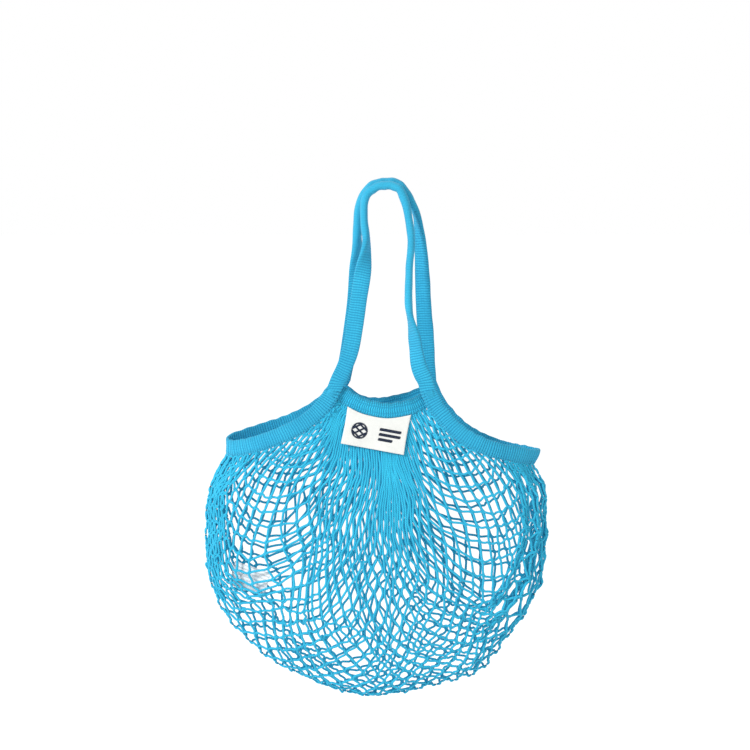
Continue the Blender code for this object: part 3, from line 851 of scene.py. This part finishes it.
def knots(front, fold, places):
    top, left, right = edges_of(front)
    even = np.linspace(0, 1, 2 * COLUMNS + 1)
    s = even[None, :, None]
    t = np.linspace(0, 1, ROWS + 1)[:, None, None]
    t = crowded(t, s)
    s = spread(s, t)
    fold_knots = along_at(fold, np.interp(s[..., 0], even, places).ravel()).reshape(*s.shape[:2], 3)
    top_knots = along_at(top, s[..., 0].ravel()).reshape(*s.shape[:2], 3)
    left_knots = np.stack([along_at(left, t[:, i, 0]) for i in range(t.shape[1])], 1)
    right_knots = np.stack([along_at(right, t[:, i, 0]) for i in range(t.shape[1])], 1)
    corners = ((1 - s) * (1 - t) * top[0] + s * (1 - t) * top[-1]
               + (1 - s) * t * fold[0] + s * t * fold[-1])
    return ((1 - t) * top_knots + t * fold_knots + (1 - s) * left_knots + s * right_knots
            - corners)


# %% [markdown]
# ## Settling the knots
#
# A perfect Coons patch looks drawn. Each side of the real net also sags and slides in its own
# way, so front and back fall out of step and their openings overlap at random: a slow drift, a
# quick one, and a looseness of single knots, the last two stronger in the tangles at the sides.
# The shifts die away at the four edges. Then each knot is moved to the belly's wall, which a ray
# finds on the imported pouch. Where the ray misses, or finds the far wall, the knot keeps its
# depth. Three rounds of averaging then even the depths out.

# %% Wander and depth
SLOW_LENGTH, QUICK_LENGTH = 0.10, 0.032
SLOW_SHIFT, QUICK_SHIFT, LOOSE_SHIFT = 0.0056, 0.0013, 0.0005
TANGLED_QUICK, TANGLED_LOOSE = 0.0030, 0.0019
DEPTH_LOOSE, DEPTH_TANGLED = 0.0004, 0.0022
LEFT_TANGLE, RIGHT_TANGLE = 0.4, 1.3
TANGLE_FROM, TANGLE_GROWS = 0.62, 0.20  # shares down: where tangles begin, and over how much
TANGLE_TO, TANGLE_FADES = 0.28, 0.12  # shares in from a side: where they end, and over how much
ACROSS_POWER, DOWN_POWER = 0.35, 0.45  # of the shifts' dying away at the edges


def settle(grid, front):
    seed = 11 if front else 12
    rows, columns, _ = grid.shape
    s = np.linspace(0, 1, columns)[None, :, None]
    t = np.linspace(0, 1, rows)[:, None, None]
    inside = (4 * s * (1 - s)) ** ACROSS_POWER * (4 * t * (1 - t)) ** DOWN_POWER
    sideways = smoothstep((TANGLE_TO - np.minimum(s, 1 - s)) / TANGLE_FADES)
    crowd = smoothstep((t - TANGLE_FROM) / TANGLE_GROWS) * sideways
    tangle = crowd * np.where(s > 0.5, RIGHT_TANGLE, LEFT_TANGLE)
    slow, quick = drift(grid, SLOW_LENGTH, seed), drift(grid, QUICK_LENGTH, seed + 20)
    loose = np.random.default_rng(seed).normal(size=grid.shape)
    shift = (SLOW_SHIFT * slow + (QUICK_SHIFT + TANGLED_QUICK * tangle) * quick
             + (LOOSE_SHIFT + TANGLED_LOOSE * tangle) * loose)
    grid = grid + inside * shift * (1, 0, 1)
    side = -1 if front else 1
    for row in range(1, rows - 1):
        for column in range(1, columns - 1):
            x, _, z = grid[row, column]
            hit = walls.ray_cast(Vector((x, side, z)), Vector((0, -side, 0)))[0]
            if hit and hit.y * side > 0:
                grid[row, column, 1] = hit.y - side * CORD_RADIUS
    for _ in range(3):
        around = (grid[:-2, 1:-1] + grid[2:, 1:-1] + grid[1:-1, :-2] + grid[1:-1, 2:]) / 4
        grid[1:-1, 1:-1, 1] = around[..., 1]
    wobble = inside * (DEPTH_LOOSE * loose + DEPTH_TANGLED * tangle * quick)
    grid[1:-1, 1:-1, 1] += wobble[1:-1, 1:-1, 1]
    return grid


_, front_left_edge, front_right_edge = edges_of(True)
fold = outline(front_left_edge[-1], front_right_edge[-1])
places = fold_places(fold)
front_net = settle(knots(True, fold, places), True)
back_net = settle(knots(False, fold, places), False)
print("knots on each side:", front_net[:, ::2, 0].size)

# %% [markdown]
# ## The cords
#
# In a knotless net each cord zigzags down one column: it swings right to join its neighbour,
# runs beside it for a few millimetres, swings left to join the other neighbour, and so on, round
# the fold and up the back. Two cords side by side make each "knot", which is why the openings
# have round corners. Where two knots are closer than the cord between them is long, the spare
# cord stands out as a small loop.

# %% Each cord's path
CELL_SIDE = 0.0138
JOIN_HALF = 0.0021  # half the length over which two cords run side by side
FOLD_HALF = np.array((0, 0.0012, 0))  # a cord rounds the fold this far to the front and back
INTO_TAPE = 0.0045
TOUCHING = 0.92  # of a radius from a knot's middle to each cord's: the two press together
JOIN_SHARE = 0.25  # and at most this share of the way to the next knot is spent side by side
TAKEN_UP = 0.003  # spare cord that the knots themselves take up
BULGE_SHARE, BULGE_MOST = 0.45, 0.0028
SWING, SWING_DOWN = (0.6, 0.7, 0.5), (0, 0, -0.35)
FOLD_REACH = 0.34  # of a cord's way sideways from its last knot: where it rounds the fold
CORD_SIDES = 6


def stops_of(number, grid, rows):
    """Where one cord meets its neighbours, and which way it heads there."""
    stops = []
    for row in rows:
        column = number if (number + row) % 2 == 0 else number + 1
        beyond = 1 if column == number else -1
        side = unit(grid[row, min(column + 1, 2 * COLUMNS)] - grid[row, max(column - 1, 0)])
        down = unit(grid[min(row + 1, ROWS), column] - grid[max(row - 1, 0), column])
        place = grid[row, column] + side * beyond * CORD_RADIUS * TOUCHING
        stops.append((place, side if row == ROWS else down))
    return stops


def cord(number, random):
    """The path of one cord from the front binding, round the fold, to the back binding."""
    stops = stops_of(number, front_net, range(ROWS + 1))
    stops += [(place, -down) for place, down in
              stops_of(number, back_net, range(ROWS - 1, -1, -1))]
    route = []
    for i, (place, heading) in enumerate(stops):
        before = np.linalg.norm(place - stops[i - 1][0]) if i else CELL_SIDE
        after = np.linalg.norm(stops[i + 1][0] - place) if i + 1 < len(stops) else CELL_SIDE
        if i:
            slack = max(0.0, CELL_SIDE - before)
            bulge = min(BULGE_SHARE * math.sqrt(max(0.0, slack - TAKEN_UP) * before), BULGE_MOST)
            swing = random.normal(size=3) * SWING + SWING_DOWN
            route.append((place + stops[i - 1][0]) / 2 + bulge * swing)
        if i == ROWS:
            turn = place + heading * FOLD_REACH * np.dot(stops[i - 1][0] - place, heading)
            route += [turn - FOLD_HALF, place, turn + FOLD_HALF]
            continue
        route.append(place - heading * min(JOIN_HALF, JOIN_SHARE * before))
        route.append(place + heading * min(JOIN_HALF, JOIN_SHARE * after))
    route[0] = stops[0][0] + np.array((0, 0, INTO_TAPE))
    route[-1] = stops[-1][0] + np.array((0, 0, INTO_TAPE))
    return np.array(route)


def net_half(name, numbers, seed):
    random = np.random.default_rng(seed)
    tubes = []
    for number in numbers:
        route = curve_through(cord(number, random), 3)
        tubes.append(thread_tube(route, CORD_RADIUS, CORD_SIDES, (0.07, 1, 0.12)))
    made = skin(name, tubes, net_cord)
    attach(made, "bag")
    print(name, "holds", round(sum(run[-1] for _, run in tubes), 1), "m of cord")
    return made


net_left = net_half("net_left_half", range(COLUMNS), 31)
net_right = net_half("net_right_half", range(COLUMNS, 2 * COLUMNS), 32)
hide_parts("net_body")

# %% [markdown]
# ## Seams and tacks
#
# The rims and bindings are closed over the net by a row of short stitches along the lower edge,
# and each handle's foot has a bar tack: many close passes of thread across the tape. A stitch is
# a short arch of thread whose two ends dive into the cloth.

# %% Stitch rows and tacks
STITCH_LENGTH, STITCH_GAP = 0.0026, 0.0011
STITCH_RADIUS = 0.00034
SEAM_ABOVE_EDGE = 0.003
SEAM_FROM_END = 0.008
STITCH_RISE, STITCH_DIVE = 1.6, 0.9  # the arch's height and its ends' depth, in thread radii
STITCH_SLANT = 0.0002
TACK_RISE, TACK_DIVE = 1.5, 0.7
TACK_SPACING = 0.00075
THREAD_LIFT = 0.0001


def stitch_row(name, run, node):
    """Stitches along a tape's lower edge, on its outer face."""
    first, last = run.run[0] + SEAM_FROM_END, run.run[-1] - SEAM_FROM_END
    share = np.linspace(0, 1, 7)
    arch = np.sin(share * math.pi) ** 0.6
    lift = STITCH_RADIUS * (STITCH_RISE * arch - STITCH_DIVE) + THREAD_LIFT
    aside = np.full(7, SEAM_ABOVE_EDGE - TAPE_WIDTH / 2) + STITCH_SLANT * (share - 0.5)
    tubes = []
    for begin in np.arange(first, last, STITCH_LENGTH + STITCH_GAP):
        tubes.append(thread_tube(face_point(run, begin + share * STITCH_LENGTH, aside, lift),
                                 STITCH_RADIUS))
    made = skin(name, tubes, blue_thread)
    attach(made, "bag")
    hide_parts(node)


def tack(name, run, start, length, low, high, node):
    """A bar tack: one thread to and fro across the tape from low to high."""
    count = round(length / TACK_SPACING)
    passes = np.repeat(np.arange(count + 1), 6)
    along = start + passes * TACK_SPACING
    swing = np.tile(np.linspace(0, 1, 6), count + 1)
    swing = np.where(passes % 2 == 0, swing, 1 - swing)
    arch = np.sin(np.clip(swing, 0, 1) * math.pi) ** 0.5
    lift = STITCH_RADIUS * (TACK_RISE * arch - TACK_DIVE) + THREAD_LIFT
    route = face_point(run, along, low + swing * (high - low), lift)
    made = skin(name, [thread_tube(route, STITCH_RADIUS, 6, (0.11, 0.17, 1))], blue_thread)
    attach(made, "bag")
    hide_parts(node)


for run in (left_run, right_run):
    run.run = run_of(run.middle)
stitch_row("left_rim_stitches", left_run, "left_rim_thread")
stitch_row("right_rim_stitches", right_run, "right_rim_thread")
stitch_row("front_binding_stitches", front_binding, "front_binding_thread")
stitch_row("back_binding_stitches", back_binding, "back_binding_thread")
TACK_START, TACK_LENGTH, TACK_REACH = 0.006, 0.0072, 0.005
SEAM_LENGTH, SEAM_LOW, SEAM_HIGH = 0.0036, -0.0045, 0.0075  # where the long tape's ends join
ends = {"tack_back_left": (left_run, TACK_START),
        "tack_front_left": (left_run, left_run.run[-1] - TACK_START - TACK_LENGTH),
        "tack_front_right": (right_run, TACK_START),
        "tack_back_right": (right_run, right_run.run[-1] - TACK_START - TACK_LENGTH)}
for node, (run, start) in ends.items():
    tack(node.replace("tack", "bar_tack"), run, start, TACK_LENGTH, -TACK_REACH, TACK_REACH, node)
tack("tape_join_seam", right_run, right_run.run[-1] / 2 - SEAM_LENGTH / 2, SEAM_LENGTH,
     SEAM_LOW, SEAM_HIGH, "tape_join_stitch")

# %% [markdown]
# ## The woven patch
#
# A plain-woven patch hangs from the front binding. It is a sheet of cloth, cut to 70 by 44 mm,
# but the strip that would be sewn in behind the binding is left out: its top edge follows the
# binding's curve. Its lower corners lift a little. Its emblem and bars are satin stitch, so they
# are rows of thread lying side by side and not paint.

# %% Patch cloth
PATCH_WIDTH, PATCH_DROP, PATCH_THICKNESS = 0.070, 0.044, 0.0008
PATCH_SLOPE, PATCH_LEAN = math.radians(-10.5), math.radians(7.0)
PATCH_HINGE = Vector((-0.0095, -0.0286, -0.2413))
TOP_OVERLAP = 0.0004
CORNER_LIFT, EDGE_WAVE, WAIST = 0.0012, 0.0007, 0.0012
patch_place = Matrix.Translation(PATCH_HINGE) @ Euler(
    (math.pi / 2 - PATCH_LEAN, -PATCH_SLOPE, 0)).to_matrix().to_4x4()
patch_inverse = patch_place.inverted()
binding_edge = np.array([patch_inverse @ Vector(p) for p in lower_edge(front_binding)])
binding_edge = binding_edge[np.argsort(binding_edge[:, 0])]


def patch_surface(u, v):
    """A point of the patch in its own frame; u and v go from 0 to 1, v downwards."""
    x = (u - 0.5) * PATCH_WIDTH
    top = np.interp(x, binding_edge[:, 0], binding_edge[:, 1]) + TOP_OVERLAP
    y = top + (-PATCH_DROP - top) * v
    low = smoothstep((v - 0.45) / 0.55)
    corner = (np.abs(u - 0.5) * 2) ** 3 * low
    z = CORNER_LIFT * corner + EDGE_WAVE * low * np.sin(3.1 * u * math.pi + 0.6) * v
    return np.stack([x + (0.5 - u) * WAIST * np.sin(v * math.pi), y, z], -1)


def slab(name, surface, across, down, thickness, finish, place):
    """A thin closed sheet over a surface function, with softly rounded edges."""
    u, v = np.meshgrid(np.linspace(0, 1, across), np.linspace(0, 1, down), indexing="ij")
    middle = surface(u, v)
    edge = np.minimum.reduce([u * across, (1 - u) * across, v * down, (1 - v) * down])
    half = thickness / 2 * np.clip(0.25 + 0.75 * edge / 1.5, 0.25, 1)
    size = across * down
    index = np.arange(size).reshape(across, down)
    quads = np.stack([index[:-1, :-1], index[1:, :-1], index[1:, 1:], index[:-1, 1:]], -1)
    quads = quads.reshape(-1, 4)
    rim = np.concatenate([index[:, 0], index[-1, 1:], index[-2::-1, -1], index[0, -2:0:-1]])
    rim_next = np.roll(rim, -1)
    lift = np.zeros((across, down, 3))
    lift[..., 2] = half
    points = np.concatenate([(middle + lift).reshape(-1, 3), (middle - lift).reshape(-1, 3)])
    faces = np.concatenate([quads[:, ::-1], quads + size,
                            np.stack([rim, rim_next, rim_next + size, rim + size], -1)])
    mesh = bpy.data.meshes.new(name)
    mesh.from_pydata(points.tolist(), [], faces.tolist())
    uv = mesh.uv_layers.new(name="run")
    loops = np.zeros(len(mesh.loops), int)
    mesh.loops.foreach_get("vertex_index", loops)
    flat = np.stack([u, v], -1).reshape(-1, 2)
    uv.data.foreach_set("uv", flat[loops % size].astype(np.float32).ravel())
    mesh.transform(place)
    return as_piece(name, mesh, finish)


# %% Patch material
def woven(name, deep, pale, roughness, threads_across, threads_down, relief, stripes=None):
    """A plain weave over a sheet's own u and v, with printed lines where stripes are given."""
    made, tree, shader, run = new_finish(name, roughness, 0.2)
    m = maths(tree)
    across, down = run_parts(tree, run)
    warp = m("MULTIPLY", across, threads_across * math.pi)
    weft = m("MULTIPLY", down, threads_down * math.pi)
    over = m("MULTIPLY", m("SINE", warp), m("SINE", weft))
    basket = m("MULTIPLY_ADD", over, 0.5, 0.5)
    dye = effect_node(tree, mottle, {"Patch Size": 0.012})
    # The colour is darker where the weave lies low: painted shade. The mottle is uneven dye.
    share = m("MULTIPLY_ADD", basket, 0.45, m("MULTIPLY", dye.outputs["Mottle"], 0.75))
    colour = shaded(tree, share, deep, pale, 0.1, 0.7)
    if stripes:
        count, grey = stripes
        line = m("SINE", m("MULTIPLY", down, count * TAU))
        inked = m("MULTIPLY", m("GREATER_THAN", line, 0.35),
                  m("GREATER_THAN", noise(tree, 60, 1, run), 0.42))
        print_mix = tree.nodes.new("ShaderNodeMix")
        print_mix.data_type = "RGBA"
        tree.links.new(inked, print_mix.inputs["Factor"])
        tree.links.new(colour, print_mix.inputs["A"])
        print_mix.inputs["B"].default_value = (*grey, 1)
        colour = print_mix.outputs["Result"]
    tree.links.new(colour, shader.inputs["Base Color"])
    add_relief(tree, shader, basket, relief, 0.8)
    return made


patch_cloth = woven("patch_canvas", (0.64, 0.645, 0.61), (0.79, 0.80, 0.77), 0.9, 120, 74, 0.0002)
patch = slab("woven_patch_cloth", patch_surface, 71, 45, PATCH_THICKNESS, patch_cloth, patch_place)
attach(patch, "patch")
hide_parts("woven_patch")

# %% Satin stitch on the patch
SATIN_RADIUS = 0.00026
SATIN_SPACING = 0.00040
SATIN_AT_END, SATIN_WIDENS = 0.45, 2.4  # a bar's share of its width at its ends; its widening
SATIN_SLANT, SATIN_ARCH = 0.25, 0.00042
EMBLEM_MIDDLE = np.array((-0.0175, -0.0265))
EMBLEM_RADIUS = 0.0088
LATTICE_TURN = math.radians(35)
LATTICE_PLACES = -0.62, 0, 0.62  # of the emblem's radius
LATTICE_REACH, RING_REACH = 0.93, 0.95
LATTICE_WIDTH, RING_WIDTH, BAR_WIDTH = 0.0017, 0.0015, 0.0030
PATCH_BARS = ((-0.0210, 0.004, 0.028), (-0.0265, 0.004, 0.028), (-0.0320, 0.004, 0.020))


def satin(start, end, width):
    """A satin bar from start to end: short threads side by side, slanting across it."""
    start, end = np.array(start, float), np.array(end, float)
    length = np.linalg.norm(end - start)
    ahead = (end - start) / length
    aside = np.array((-ahead[1], ahead[0]))
    threads = []
    for walked in np.arange(SATIN_SPACING, length, SATIN_SPACING):
        to_end = min(walked, length - walked)
        full = width * min(1, SATIN_AT_END + SATIN_WIDENS * to_end / width)
        share = np.linspace(-0.5, 0.5, 7)
        flat = start + ahead * walked + np.outer(share, aside * full + ahead * SATIN_SLANT * full)
        arch = SATIN_ARCH * np.cos(share * math.pi) ** 0.5
        threads.append(np.column_stack([flat, patch_height(flat) + arch]))
    return threads


def patch_height(flat):
    """The patch's own height above its plane at x and y, plus half its thickness."""
    u = np.clip(flat[:, 0] / PATCH_WIDTH + 0.5, 0, 1)
    top = np.interp(flat[:, 0], binding_edge[:, 0], binding_edge[:, 1])
    v = np.clip((top - flat[:, 1]) / (top + PATCH_DROP), 0, 1)
    return patch_surface(u, v)[:, 2] + PATCH_THICKNESS / 2


def stitched(name, routes, node):
    tubes = []
    for route in routes:
        world_route = np.array([patch_place @ Vector(point) for point in route])
        tubes.append(thread_tube(world_route, SATIN_RADIUS, 6, (0.08, 1, 0.1)))
    made = skin(name, tubes, navy_thread)
    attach(made, "patch")
    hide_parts(node)
    return made


lattice = []
for turn in (LATTICE_TURN, -LATTICE_TURN):
    ahead = np.array((math.cos(turn), math.sin(turn)))
    aside = np.array((-ahead[1], ahead[0]))
    for place in LATTICE_PLACES:
        reach = math.sqrt(1 - place ** 2) * EMBLEM_RADIUS * LATTICE_REACH
        middle = EMBLEM_MIDDLE + aside * place * EMBLEM_RADIUS
        lattice += satin(middle - ahead * reach, middle + ahead * reach, LATTICE_WIDTH)
ring = [EMBLEM_MIDDLE + EMBLEM_RADIUS * RING_REACH * np.array((math.cos(a), math.sin(a)))
        for a in np.linspace(0, TAU, 13)]
for a, b in zip(ring, ring[1:]):
    lattice += satin(a, b, RING_WIDTH)
emblem = stitched("patch_emblem_stitches", lattice, "patch_emblem")
bar_threads = []
for height, low, high in PATCH_BARS:
    bar_threads += satin((low, height), (high, height), BAR_WIDTH)
bars = stitched("patch_bar_stitches", bar_threads, "patch_bars")

# %% [markdown]
# ## The care label
#
# A small white satin label is sewn by one end inside the net. It shows through the openings as
# a pale slip with grey lines. Its edges can't be seen from outside, so its size is a guess. It
# is too small to drape by simulation: a sheet with a gentle curl is enough.

# %% Care label
LABEL_WIDTH, LABEL_HEIGHT, LABEL_THICKNESS = 0.043, 0.028, 0.0006
LABEL_PLACE = Vector((-0.153, -0.019, -0.431))
LABEL_TURN, LABEL_TILT = math.radians(-14.0), math.radians(16.0)
LABEL_CURL, LABEL_BELLY = 0.0016, 0.0008
LABEL_SEAM = 0.045  # of its width from its sewn end
LABEL_STITCHES, LABEL_LOWEST, LABEL_SPACING = 9, -0.010, 0.0025
label_place = Matrix.Translation(LABEL_PLACE) @ Euler(
    (math.pi / 2, LABEL_TILT, LABEL_TURN)).to_matrix().to_4x4()


def label_surface(u, v):
    x = (u - 0.5) * LABEL_WIDTH
    y = (0.5 - v) * LABEL_HEIGHT
    z = LABEL_CURL * np.sin(u * 2.2 * math.pi) * (u ** 1.2) + LABEL_BELLY * np.sin(v * math.pi) * u
    return np.stack([x, y, z], -1)


label_satin = woven("label_satin", (0.82, 0.82, 0.82), (0.95, 0.95, 0.945), 0.42, 180, 120,
                    0.00004, stripes=(7, (0.62, 0.62, 0.63)))
label = slab("care_label_cloth", label_surface, 45, 31, LABEL_THICKNESS, label_satin, label_place)
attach(label, "bag")
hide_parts("care_label")

share = np.linspace(0, 1, 7)
x = LABEL_WIDTH * (-0.5 + LABEL_SEAM) + share * 0.0016
arch = LABEL_THICKNESS / 2 + 0.0003 * np.sin(share * math.pi)
label_rows = [np.array([label_place @ Vector((a, LABEL_LOWEST + LABEL_SPACING * i, b))
                        for a, b in zip(x, arch)]) for i in range(LABEL_STITCHES)]
label_stitch = skin("care_label_stitches", [thread_tube(row, 0.0002, 6, (0.08, 1, 0.1))
                                            for row in label_rows], blue_thread)
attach(label_stitch, "bag")
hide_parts("care_label_stitch")
